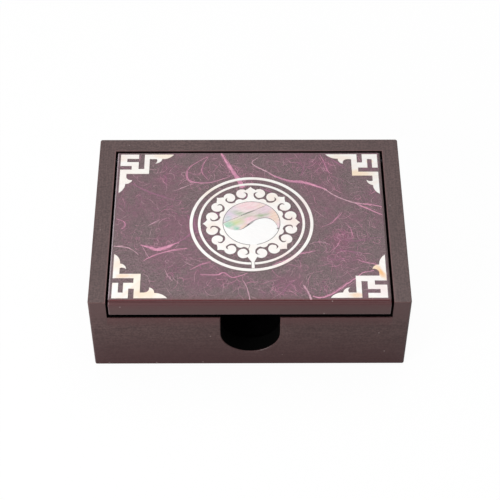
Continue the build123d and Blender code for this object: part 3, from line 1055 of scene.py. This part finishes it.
STRANDS = tuple(
    Strand(*row)
    for row in (
        (ROSE, (0.7, 1.3, 2.4), ((-10.2, 31.3), (-7.2, 24.9), (-3.9, 18.5), (-2.2, 14.4)), 10),
        (ROSE, (0.15, 0.41, 0.22),
         ((-15.5, 29.6), (-20.8, 25.4), (-22.5, 22.3), (-22, 18.5), (-19.3, 16.9), (-13.9, 16.9),
          (-10, 18.5), (-7, 19.8)), 7),
        (ROSE, (0.12, 0.26, 0.15), ((-15, 29.8), (-17, 24.6), (-17, 21.5), (-14.7, 18)), 4),
        (PALE, (0.25, 0.4, 0.5),
         ((3.4, 29.2), (1.1, 27.3), (1.8, 25.4), (6.8, 21.9), (9.9, 19.6), (13, 18.3)), 3),
        (ROSE, (0.5, 1.3, 0.6),
         ((7.5, 21.2), (9.9, 19.6), (14.5, 17.7), (19.9, 16.9), (24.5, 15), (28, 13.2)), 8),
        (PALE, (0.3, 0.45, 0.45),
         ((25.5, 14.6), (27.6, 13.2), (31.5, 10), (37.6, 6.9), (41, 6.5)), 4),
        (ROSE, (0.3, 0.52, 0.33), ((37.6, 6.9), (43, 6.2), (47.3, 5)), 5),
        (ROSE, (0.3, 0.41, 0.26), ((38.4, 6.3), (43.8, 3.1), (47.3, 1.3)), 4),
        (ROSE, (0.3, 1.9, 0.4),
         ((-38.2, -12.5), (-34.7, -13.8), (-32.4, -14.5), (-29.3, -13.8), (-24.7, -11.2)), 10),
        (PLUM, (0.3, 0.6, 0.4), ((-27, -12.6), (-24, -10.6), (-20.5, -7.2), (-18, -3)), 6),
        (ROSE, (0.22, 0.33, 0.22), ((-47.2, -0.4), (-44.3, -1.9), (-43.9, -3.8), (-45.1, -5.4)), 3),
        (PALE, (0.35, 0.4, 0.15), ((-47.3, -13.1), (-43.2, -13.5), (-40.5, -15), (-38.6, -17)), 3),
        (PALE, (0.15, 0.25, 0.15), ((-37.8, -12.3), (-36.6, -15), (-35, -18.2)), 2),
        (ROSE, (0.18, 0.41, 0.26), ((-37, -20), (-33.2, -17.3), (-27, -15), (-21.6, -14.2)), 7),
        (ROSE, (0.22, 0.37, 0.26),
         ((-17, -25.8), (-11.6, -26), (-8.9, -25), (-6.2, -27.1), (-3.2, -26.5), (-0.8, -25.2)), 5),
        (PALE, (0.3, 0.45, 0.35), ((-2, -28.8), (-1, -31.5), (-0.5, -34.2), (0, -36.8)), 4),
        (PALE, (0.15, 0.25, 0.15), ((-29.3, -23.5), (-28.2, -26.2), (-26.6, -28.5)), 2),
        (ROSE, (0.59, 0.63, 0.22),
         ((21.5, -35.4), (23.8, -36), (26.8, -35.2), (30.7, -32.4), (35.3, -28.5), (37.2, -26.9),
          (39.5, -25.2), (43, -24.3)), 4),
        (PALE, (0.35, 0.6, 0.8), ((18.4, -30.6), (19.9, -33.6), (20.9, -36.8)), 6),
        (ROSE, (0.12, 0.22, 0.15), ((25.7, -4.6), (29.2, -2.3), (31.5, 0), (33, 2.3)), 2),
        (ROSE, (0.15, 0.26, 0.15), ((35.2, -4.2), (36, -6.6), (35.9, -9.2)), 3),
        (ROSE, (0.15, 0.3, 0.15), ((28.4, -15.4), (30.7, -13), (31.7, -10.6)), 4),
        (ROSE, (0.18, 0.26, 0.18), ((37.2, -19.2), (39.9, -20.6), (43.8, -21.6), (46.4, -23.2)), 4),
        (ROSE, (0.15, 0.3, 0.15), ((-20.6, -23.8), (-17, -21.5), (-13.4, -20.2)), 5),
        (PLUM, (0.2, 0.3, 0.2), ((-17.6, -21.2), (-16.4, -23.6)), 2),
        (ROSE, (0.22, 0.52, 0.22), ((7.8, -21.8), (13, -19.2), (17.4, -16.8), (23, -15.4)), 7),
        (PALE, (0.15, 0.3, 0.15), ((-35.8, -3.8), (-31.6, -0.8)), 2),
        (PLUM, (0.2, 0.3, 0.2), ((17, 27), (19.3, 25.4), (19.9, 22.6), (18.4, 20)), 4),
        (ROSE, (0.15, 0.22, 0.15), ((26.2, 30.6), (27.6, 26.4), (28.8, 22.4), (30.2, 21)), 4),
        (PLUM, (0.2, 0.35, 0.2), ((28.6, 29.6), (32, 26.6), (35, 23.6)), 4),
        (PLUM, (0.2, 0.4, 0.2), ((-31.4, 20.8), (-30, 18.6), (-30.6, 15.4)), 4),
        (PLUM, (0.2, 0.3, 0.2), ((30.5, -9.8), (36, -11), (42, -9.6), (47.2, -9.2)), 4),
        (PLUM, (0.2, 0.4, 0.2), ((30.6, -14.8), (35, -15.6), (39.4, -16.8)), 5),
        (PALE, (0.15, 0.25, 0.15), ((22, -11.8), (25.4, -11.4), (28, -12.4)), 3),
        (PLUM, (0.2, 0.3, 0.2), ((27.4, -17.4), (29.2, -19.4), (33.4, -18.6)), 3),
        (PLUM, (0.3, 0.4, 0.3), ((11, -35), (12.6, -31.4), (15.4, -28.6)), 4),
        (PLUM, (0.2, 0.4, 0.2), ((-44.6, 18), (-37, 12.8), (-29, 9.2), (-24, 7.8)), 3),
        (PALE, (0.1, 0.25, 0.1), ((-27.6, 12.6), (-23.4, 14.6), (-20, 16.6)), 2),
        (PLUM, (0.3, 0.8, 0.3), ((-21.9, 1.2), (-20.6, -2.8), (-21, -6.6)), 5),
        (ROSE, (0.12, 0.15, 0.12), ((43.2, 10.8), (46.6, 13.2)), 1),
        (PLUM, (0.3, 1.0, 0.4), ((-19.4, 0.6), (-19.6, -2.2), (-18.9, -5), (-18.2, -7.2)), 4),
        (PLUM, (0.4, 0.8, 0.4), ((-12.4, 2.9), (-11.2, 1.9), (-10.3, 0.3)), 2),
        (PLUM, (0.4, 0.9, 0.5), ((-2, 11.7), (-1.2, 10.7), (-1.2, 9.4)), 2),
        (PLUM, (0.3, 0.6, 0.2), ((4.4, 14), (6.5, 13), (8.6, 11.6)), 3),
    )
)

SKINS = {
    ROSE: FibreSkin("fibre_rose", (216, 147, 175), (148, 94, 124)),
    PALE: FibreSkin("fibre_pale", (204, 162, 176), (146, 108, 120)),
    PLUM: FibreSkin("fibre_plum", (148, 94, 122), (116, 80, 99)),
}


def heading(start: Point, end: Point) -> Vector:
    """The direction from one point to another, or to the right when they meet."""
    run = Vector((end[0] - start[0], end[1] - start[1]))
    return run.normalized() if run.length > 1e-6 else Vector((1.0, 0.0))


@dataclass
class FibreMesh:
    """Flat tapered fibres gathered into one mesh."""

    name: str
    paper_top: float
    low: Point
    high: Point
    thickness: float = 0.03
    sink: float = 0.004
    vertices: list[Triple] = field(default_factory=list)
    faces: list[tuple[int, ...]] = field(default_factory=list)

    def inside(self, point: Point) -> bool:
        """Whether the point lies on the paper."""
        return all(a < value < b for a, value, b in zip(self.low, point, self.high))

    def add(self, path: Sequence[Point], widths: Sequence[float]) -> None:
        """Add one fibre as a closed strip with a low crown.

        Args:
            path: Its middle line.
            widths: Its width at each point of the line.
        """
        kept = [pair for pair in zip(path, widths) if self.inside(pair[0])]
        if len(kept) < 3:
            return
        path = [point for point, _ in kept]
        base = self.paper_top - self.sink
        start = len(self.vertices)
        last = len(path) - 1
        for index, (x, y) in enumerate(path):
            before, after = path[max(index - 1, 0)], path[min(index + 1, last)]
            run = heading(before, after)
            half = kept[index][1] / 2
            side_x, side_y = -run.y * half, run.x * half
            self.vertices += [
                (x + side_x, y + side_y, base),
                (x, y, base + self.thickness + self.sink),
                (x - side_x, y - side_y, base),
            ]
        for index in range(last):
            ring, following = start + 3 * index, start + 3 * (index + 1)
            for step in range(3):
                turn = (step + 1) % 3
                self.faces.append((ring + step, ring + turn, following + turn, following + step))
        end = start + 3 * last
        self.faces.append((start + 2, start + 1, start))
        self.faces.append((end, end + 1, end + 2))

    def piece(self, finish: Finish) -> None:
        """Turn what was added into one piece that rides on the lid.

        Args:
            finish: The fibres' finish.
        """
        mesh = bpy.data.meshes.new(self.name)
        mesh.from_pydata([Vector(v) * MM for v in self.vertices], [], self.faces)
        mesh.validate()
        mesh.materials.append(finish.make())
        made = added(self.name, mesh)
        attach(made, Body.LID.value)
        LOG.info("%s has %d faces", self.name, len(self.faces))


@dataclass
class LidPanel(SubAssembly):
    """The lid's board, its paper and the fibres in it."""

    seed: int = 7
    fine_count: int = 620
    step: float = 0.45
    margin: float = 0.1
    meshes: dict[Dye, FibreMesh] = field(default_factory=dict)

    def __post_init__(self) -> None:
        """Start the source of chance."""
        self.draw = random.Random(self.seed)

    def dress(self) -> None:
        """Finish the board and the paper."""
        low, high = in_mm(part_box("lid_board"))
        side_low, side_high = (low.x, -FAR, -FAR), (FAR, FAR, high.z)
        board = Lacquer(
            "lacquered_lid",
            (
                # Painted highlight: pale lines along all edges of the lid's board.
                WearAndPaintedLight(TintedAt.EDGES, tuple(low), tuple(high), 0.5, 0.15, (140, 122, 126), 0.6),
                # Painted highlight: a bright line along the lid's left edge, on the side the light
                # comes from.
                WearAndPaintedLight(TintedAt.RIM, side_low, side_high, 0.65, 0.15, (215, 198, 206), 0.85),
                # Partly painted shade: a redder band over the rounded front edge, made darker where the
                # rounding tilts up and would catch more light.
                WearAndPaintedLight.front_edge(low.y, high.z, 4.5, 2.5, (86, 49, 52), 0.6),
                WearAndPaintedLight.front_edge(low.y + 1.15, high.z, 1.2, 0.2, (62, 0, 8), 1.0),
            ),
            (low.x + 1.0, low.y + 1.0, low.z - 1.0),
            (high.x - 1.0, high.y - 1.0, low.z + 0.06),
        )
        self.dress_nodes(board, "lid_board")
        plum = (118, 68, 90)
        clouds = (
            Patch((-33, 8), 15, plum, 0.35, fray=0.9),
            Patch((-26, -3), 10, plum, 0.35, fray=0.9),
            Patch((-31, 18.5), 5, plum, 0.35, fray=0.9),
            Patch((-29, -19), 9, plum, 0.35, (0.6, 1.0), 20, 0.9),
            Patch((32, -10), 7, (128, 66, 94), 0.5, fray=1.0),
            Patch((33, -19), 9, plum, 0.4, fray=0.9),
            Patch((14, -31), 8, plum, 0.4, fray=0.9),
            Patch((-13, -29), 8, (112, 64, 86), 0.4, (0.6, 1.2), 0, 0.9),
            Patch((28, 24), 8, plum, 0.45, fray=0.9),
            Patch((26, 12), 10, plum, 0.35, (0.6, 1.2), 25, 0.9),
            Patch((2, 19), 6, (126, 68, 92), 0.35, (0.7, 1.4), 0, 0.8),
            Patch((-20, -3), 5, (132, 68, 96), 0.6, (1.6, 0.7), 0, 0.6),
        )
        disc_low, disc_high = in_mm(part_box("taegeuk_pale_half"))
        sheet_low, sheet_high = in_mm(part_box("lid_paper"))
        paper = FibrePaper(
            disc_centre=((disc_low.x + disc_high.x) / 2, disc_low.y + FibrePaper.disc_radius),
            patches=clouds,
            edge_tints=(
                WearAndPaintedLight.front_edge(sheet_low.y, sheet_high.z, 3.4, 1.0, (98, 62, 64), 0.45),
                WearAndPaintedLight.front_edge(sheet_low.y, sheet_high.z, 0.95, 0.25, (84, 6, 14), 1.0),
            ),
        )
        self.dress_nodes(paper, "lid_paper")

    def build(self) -> None:
        """Lay the long fibres, their loose hairs and the fine fibres of the pulp."""
        low, high = in_mm(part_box("lid_paper"))
        inner_low = (low.x + self.margin, low.y + self.margin)
        inner_high = (high.x - self.margin, high.y - self.margin)
        for dye in Dye:
            name = f"paper_fibres_{dye.value}"
            self.meshes[dye] = FibreMesh(name, high.z, inner_low, inner_high)
        for strand in STRANDS:
            self._lay(strand)
        for tangle in TANGLES:
            for _ in range(tangle.count):
                self._lay_curl(tangle)
        for _ in range(self.fine_count):
            self._lay_fine(low, high)
        for dye, mesh in self.meshes.items():
            mesh.piece(SKINS[dye])

    def _curve(self, points: Sequence[Point]) -> list[Point]:
        """A smooth line through the points.

        Args:
            points: The points to pass.

        Returns:
            Points along it, about one step apart.
        """
        ends = [points[0], *points, points[-1]]
        line: list[Point] = []
        for before, start, end, after in zip(ends, ends[1:], ends[2:], ends[3:]):
            count = max(2, round(math.dist(start, end) / self.step))
            for index in range(count):
                t = index / count
                place = []
                for a, b, c, d in zip(before, start, end, after):
                    slope = (c - a) * t + (2 * a - 5 * b + 4 * c - d) * t**2
                    place.append(b + 0.5 * (slope + (3 * b - a - 3 * c + d) * t**3))
                line.append((place[0], place[1]))
        line.append(points[-1])
        return line

    def _lay(self, strand: Strand) -> None:
        """Lay one long fibre as a core and loose hairs beside it.

        Args:
            strand: The fibre.
        """
        draw = self.draw
        line = self._curve(strand.points)
        drift = 0.0
        core = []
        for x, y in line:
            drift = 0.75 * drift + draw.uniform(-0.08, 0.08)
            core.append((x + drift, y - drift))
        last = len(line) - 1
        widths = [strand.width(i / last) * draw.uniform(0.75, 1.2) for i in range(len(line))]
        self.meshes[strand.dye].add(core, widths)
        for _ in range(strand.hairs):
            first = draw.randrange(0, max(1, len(line) // 2))
            last = draw.randrange(min(len(line) - 1, first + 4), len(line)) + 1
            offset = draw.uniform(-0.65, 0.65) * (strand.width(0.5 * (first + last) / len(line)) + 0.2)
            splay = draw.uniform(-1.0, 1.0) * 0.9
            hair = []
            for index, (x, y) in enumerate(line[first:last]):
                share = index / max(1, last - first - 1)
                push = offset + splay * share * share
                before = line[max(first + index - 1, 0)]
                after = line[min(first + index + 1, len(line) - 1)]
                run = heading(before, after)
                hair.append((x - run.y * push, y + run.x * push))
            dye = draw.choice((strand.dye, strand.dye, PLUM))
            self.meshes[dye].add(hair, self._taper(len(hair), draw.uniform(0.08, 0.2)))

    def _wander(self, x: float, y: float, bent: float, shaky: float, longest: int) -> list[Point]:
        """Draw a line that starts here and wanders off in a random direction.

        Args:
            x: Where it starts, to the right.
            y: Where it starts, to the back.
            bent: How strongly it tends to bend one way, in radians a step.
            shaky: How unevenly it bends, in radians a step.
            longest: The number of steps that it stays under.

        Returns:
            Its points.
        """
        angle = self.draw.uniform(-math.pi, math.pi)
        bend = self.draw.gauss(0.0, bent)
        path = [(x, y)]
        for _ in range(self.draw.randrange(5, longest)):
            angle += bend + self.draw.gauss(0.0, shaky)
            x += self.step * math.cos(angle)
            y += self.step * math.sin(angle)
            path.append((x, y))
        return path

    def _lay_curl(self, tangle: Tangle) -> None:
        """Lay one curly hair of a tangle.

        Args:
            tangle: The tangle.
        """
        x, y = (self.draw.gauss(middle, tangle.radius * 0.5) for middle in tangle.centre)
        path = self._wander(x, y, 0.3, 0.15, 15)
        dye = self.draw.choice((*[tangle.dye] * 4, PALE, ROSE))
        self.meshes[dye].add(path, self._taper(len(path), self.draw.uniform(0.05, 0.14)))

    def _lay_fine(self, low: Vector, high: Vector) -> None:
        """Lay one short fibre of the pulp at a random place.

        Args:
            low: The paper's lowest corner.
            high: The paper's highest corner.
        """
        x, y = self.draw.uniform(low.x, high.x), self.draw.uniform(low.y, high.y)
        path = self._wander(x, y, 0.1, 0.12, 17)
        dye = self.draw.choices((ROSE, PALE, PLUM), (2, 3, 5))[0]
        self.meshes[dye].add(path, self._taper(len(path), self.draw.uniform(0.05, 0.13)))

    @staticmethod
    def _taper(count: int, width: float) -> list[float]:
        """The widths of a hair that runs out thin at both ends."""
        last = max(count - 1, 1)
        return [width * (0.15 + 0.85 * math.sin(math.pi * index / last)) for index in range(count)]


@dataclass
class Medallion(SubAssembly):
    """The two rings, the wreath and the two-lobed disc."""

    centre: Point = (0.75, -2.65)

    def _around(self, *patches: Patch) -> tuple[Patch, ...]:
        """These patches, whose places are given from the medallion's centre."""
        x, y = self.centre
        return tuple(replace(each, centre=(x + each.centre[0], y + each.centre[1])) for each in patches)

    def dress(self) -> None:
        """Finish the shell pieces."""
        blush = (240, 214, 216)
        sand = (238, 208, 176)
        ring = Pearl(
            "pearl_rings",
            creaminess=0.12,
            angle=35,
            patches=self._around(
                Patch((-15, 15), 6, sand, 0.3),
                Patch((12, -17), 7, (240, 206, 204), 0.4),
                Patch((18, 10), 5, blush, 0.35),
            ),
        )
        wreath = Pearl(
            "pearl_wreath",
            cut_share=0.45,
            creaminess=0.15,
            angle=50,
            shift=(5.0, 2.0, 0.0),
            patches=self._around(
                Patch((14.5, 0.5), 4, (240, 216, 202), 0.5),
                Patch((8, 12), 4, (240, 216, 200), 0.45),
                Patch((-14, -2), 4, (234, 218, 202), 0.6),
                Patch((-4, 14), 4, blush, 0.25),
                Patch((12, -11), 3, (240, 210, 202), 0.35),
            ),
        )
        pale = Pearl(
            "pearl_disc",
            white=(244, 244, 243),
            pink=(242, 241, 241),
            cut_share=0.9,
            creaminess=0.03,
            patches=self._around(
                Patch((9.3, -2.6), 0.6, (60, 52, 56), 0.95),
                Patch((-0.6, -0.6), 3.8, (88, 80, 82), 0.9, (1.0, 12.0), -41.5, 0.2),
            ),
        )
        upper = Abalone(
            "abalone_upper",
            (228, 204, 208),
            self._around(
                Patch((-1, 8.6), 4.5, (238, 196, 202), 0.8, (0.6, 1.2)),
                Patch((-7.4, 5.2), 4.2, (206, 190, 212), 0.9),
                Patch((-8.6, 1.8), 2.6, (172, 194, 204), 0.85),
                Patch((-3.6, 4.2), 3.0, (160, 178, 150), 0.85, (0.45, 1.6), 26),
                Patch((3.6, 7.8), 2.8, (232, 208, 192), 0.6),
                Patch((-1.2, 4.8), 4.0, (78, 102, 72), 0.9, (1.0, 8.0), -24.4, 0.3),
            ),
        )
        lower = Abalone(
            "abalone_lower",
            (226, 198, 210),
            self._around(
                Patch((4.4, 5.4), 3.6, (212, 184, 196), 0.8, (0.8, 1.2)),
                Patch((8.4, 3.2), 3.8, (228, 190, 160), 0.95, (1.2, 0.7)),
                Patch((3.0, 3.3), 3.0, (144, 166, 122), 0.9, (0.6, 1.8), -10),
                Patch((-0.6, 1.6), 3.2, (240, 190, 200), 0.85, (0.8, 1.5), -35),
                Patch((-1.6, 3.4), 2.6, (176, 180, 150), 0.7, (0.4, 1.8), -26),
                Patch((-5.6, 0.2), 3.6, (192, 204, 140), 0.9, (0.7, 1.2), -20),
                Patch((-5.5, -2.6), 2.0, (84, 184, 150), 0.95),
                Patch((-8.3, -1.0), 3.0, (122, 200, 166), 0.9),
                Patch((-1.2, 4.7), 4.0, (78, 102, 72), 0.95, (1.0, 8.0), -24.4, 0.3),
                Patch((9.3, -2.6), 0.6, (60, 52, 56), 0.95),
                Patch((-2.4, -1.6), 1.6, (232, 196, 150), 0.8, (0.6, 1.2), -40),
                Patch((-0.7, -0.45), 4.0, (58, 48, 50), 0.95, (1.0, 7.0), -41.5, 0.2),
            ),
        )
        self.dress_nodes(ring, "outer_ring", "inner_ring")
        self.dress_nodes(wreath, "scroll_wreath")
        self.dress_nodes(pale, "taegeuk_pale_half")
        self.dress_nodes(upper, "taegeuk_upper_strip")
        self.dress_nodes(lower, "taegeuk_lower_strip")


@dataclass
class CornerFrets(SubAssembly):
    """The key frets in the lid's four corners."""

    def dress(self) -> None:
        """Finish each fret from its own piece of shell."""
        honey = (244, 206, 154)
        apricot = (242, 186, 122)
        frets = (
            (
                ("back_left", 0.2, 15, (2.0, 8.0, 0.0)),
                Patch((-31, 30.2), 4.5, honey, 0.35, (0.7, 1.6)),
                Patch((-46.6, 29), 2.6, (240, 220, 206), 0.5),
            ),
            (
                ("back_right", 0.25, -10, (9.0, 4.0, 0.0)),
                Patch((39, 20.9), 5.0, honey, 0.6, (0.6, 1.6)),
                Patch((34, 28.8), 3.5, (242, 212, 190), 0.5, (0.6, 1.4)),
                Patch((44.2, 27), 1.6, honey, 0.8),
            ),
            (
                ("front_left", 0.4, -35, (1.0, 3.0, 0.0)),
                Patch((-38, -28), 5.0, honey, 0.3, (1.0, 0.6)),
                Patch((-43.4, -26.6), 2.6, apricot, 0.55, (0.6, 2.0)),
                Patch((-36, -34.4), 5.0, honey, 0.55, (0.6, 1.4)),
                Patch((-45.2, -22), 3.2, (244, 220, 194), 0.6, (1.2, 0.7)),
            ),
            (
                ("front_right", 0.2, 25, (6.0, 1.0, 0.0)),
                Patch((44.9, -24.8), 2.8, (238, 178, 108), 1.0, (0.5, 1.8), 61),
                Patch((43.4, -23.4), 2.4, (242, 214, 176), 0.8),
                Patch((36.4, -35.2), 2.4, apricot, 0.6, (0.7, 1.5)),
                Patch((44.5, -33), 5.0, (240, 220, 224), 0.5),
            ),
        )
        for (corner, creaminess, angle, shift), *patches in frets:
            shell = Pearl(
                f"pearl_{corner}",
                creaminess=creaminess,
                angle=angle,
                shift=shift,
                patches=tuple(patches),
            )
            self.dress_nodes(shell, f"fret_{corner}")


@dataclass(frozen=True)
class SoftLamp:
    """A square area lamp."""

    name: str
    place: Triple
    aim: Triple
    side: float
    watts: float

    def build(self) -> None:
        """Hang the lamp."""
        light = bpy.data.lights.new(self.name, "AREA")
        light.shape = "SQUARE"
        light.size = self.side
        light.energy = self.watts
        lamp = added(self.name, light)
        lamp.location = self.place
        beam = Vector(self.aim) - Vector(self.place)
        lamp.rotation_euler = beam.to_track_quat("-Z", "Y").to_euler()
        LOG.info("%s gives %g W", self.name, self.watts)


@dataclass
class Studio:
    """The camera, the lamps, the world and the floor, in metres."""

    focal_pixels: float = 1495.03
    frame_pixels: float = 500.0
    sensor: float = 36.0
    azimuth: float = -0.317
    elevation: float = 50.196
    roll: float = 0.124
    distance: float = 0.544336
    aim_height: float = 0.0178
    offset_x: float = -0.738
    offset_y: float = -0.076
    floor_side: float = 8.0
    world_strength: float = 0.45
    background_share: float = 0.96
    floor_bounce: float = 0.6
    lamps: tuple[SoftLamp, ...] = (
        SoftLamp("front_lamp", (-0.36, -0.38, 0.22), (0.0, 0.0, 0.02), 0.3, 2.15),
        SoftLamp("top_lamp", (0.1, 0.35, 1.1), (0.0, 0.0, 0.02), 0.9, 5.6),
    )

    def build(self) -> None:
        """Build the whole studio."""
        self._camera()
        for lamp in self.lamps:
            lamp.build()
        self._world()
        self._floor()
        bpy.context.scene.view_settings.view_transform = "Standard"

    def _camera(self) -> None:
        """Set up the camera where the photograph was taken from."""
        around, above = math.radians(self.azimuth), math.radians(self.elevation)
        back = Vector(
            (math.sin(around) * math.cos(above), -math.cos(around) * math.cos(above), math.sin(above))
        )
        right = Vector((math.cos(around), math.sin(around), 0.0))
        up = back.cross(right)
        tilt = math.radians(self.roll)
        turned_right = math.cos(tilt) * right + math.sin(tilt) * up
        turned_up = math.cos(tilt) * up - math.sin(tilt) * right
        data = bpy.data.cameras.new("camera")
        data.sensor_width = self.sensor
        data.lens = self.focal_pixels / self.frame_pixels * self.sensor
        data.shift_x = -self.offset_x / self.frame_pixels
        data.shift_y = self.offset_y / self.frame_pixels
        camera = added("camera", data)
        spot = Vector((0.0, 0.0, self.aim_height)) + back * self.distance
        axes = Matrix((turned_right, turned_up, back)).transposed()
        camera.matrix_world = Matrix.Translation(spot) @ axes.to_4x4()
        bpy.context.scene.camera = camera

    @staticmethod
    def _seen(graph: Graph, *ways: str) -> Socket:
        """Tell some rays from all others.

        Args:
            graph: The graph of the world or the floor.
            *ways: The Light Path outputs of these rays.

        Returns:
            1 for these rays and 0 for the others.
        """
        path = graph.node("ShaderNodeLightPath")
        seen = path.outputs[ways[0]]
        for way in ways[1:]:
            seen = graph.math("MAXIMUM", seen, path.outputs[way])
        return seen

    def _world(self) -> None:
        """A plain white world, at full white only where it is seen."""
        world = bpy.data.worlds.new("studio_world")
        bpy.context.scene.world = world
        graph = cleared(world)
        sky = graph.node("ShaderNodeBackground")
        sky.inputs["Color"].default_value = (1.0, 1.0, 1.0, 1.0)
        seen = self._seen(graph, "Is Camera Ray", "Is Glossy Ray", "Is Transmission Ray")
        graph.put(sky.inputs["Strength"], graph.spread(seen, self.world_strength, 1.0))
        output = graph.node("ShaderNodeOutputWorld")
        graph.put(output.inputs["Surface"], sky.outputs[0])

    def _floor(self) -> None:
        """A floor that is white with the object's shadow on it, and gives back less light."""
        half = self.floor_side / 2
        mesh = bpy.data.meshes.new("floor")
        corners = [(-half, -half, 0), (half, -half, 0), (half, half, 0), (-half, half, 0)]
        mesh.from_pydata(corners, [], [(0, 1, 2, 3)])
        floor = added("floor", mesh)
        material = bpy.data.materials.new("floor_white")
        graph = cleared(material)
        matt = graph.node("ShaderNodeBsdfDiffuse")
        seen = self._seen(graph, "Is Camera Ray", "Is Transmission Ray")
        graph.put(matt.inputs["Color"], graph.spread(seen, self.floor_bounce, 0.95))
        glow = graph.node("ShaderNodeEmission")
        blend = graph.node("ShaderNodeMixShader")
        graph.put(blend.inputs[0], graph.times(seen, self.background_share))
        graph.put(blend.inputs[1], matt.outputs[0])
        graph.put(blend.inputs[2], glow.outputs[0])
        output = graph.node("ShaderNodeOutputMaterial")
        graph.put(output.inputs["Surface"], blend.outputs[0])
        mesh.materials.append(material)
        floor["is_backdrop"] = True


def corners() -> list[list[float]]:
    """The lowest and highest corner of what shows, as plain lists."""
    return [list(corner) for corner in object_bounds()]


def main() -> None:
    """Load the frame, dress it, add the fibres and set up the studio."""
    logging.basicConfig(level=logging.INFO, format="%(name)s: %(message)s")
    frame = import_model()
    Studio().build()
    Effects().build()
    BoxBody(frame).dress()
    lid = LidPanel(frame)
    lid.dress()
    lid.build()
    Medallion(frame).dress()
    CornerFrets(frame).dress()


if __name__ == "__main__":
    main()
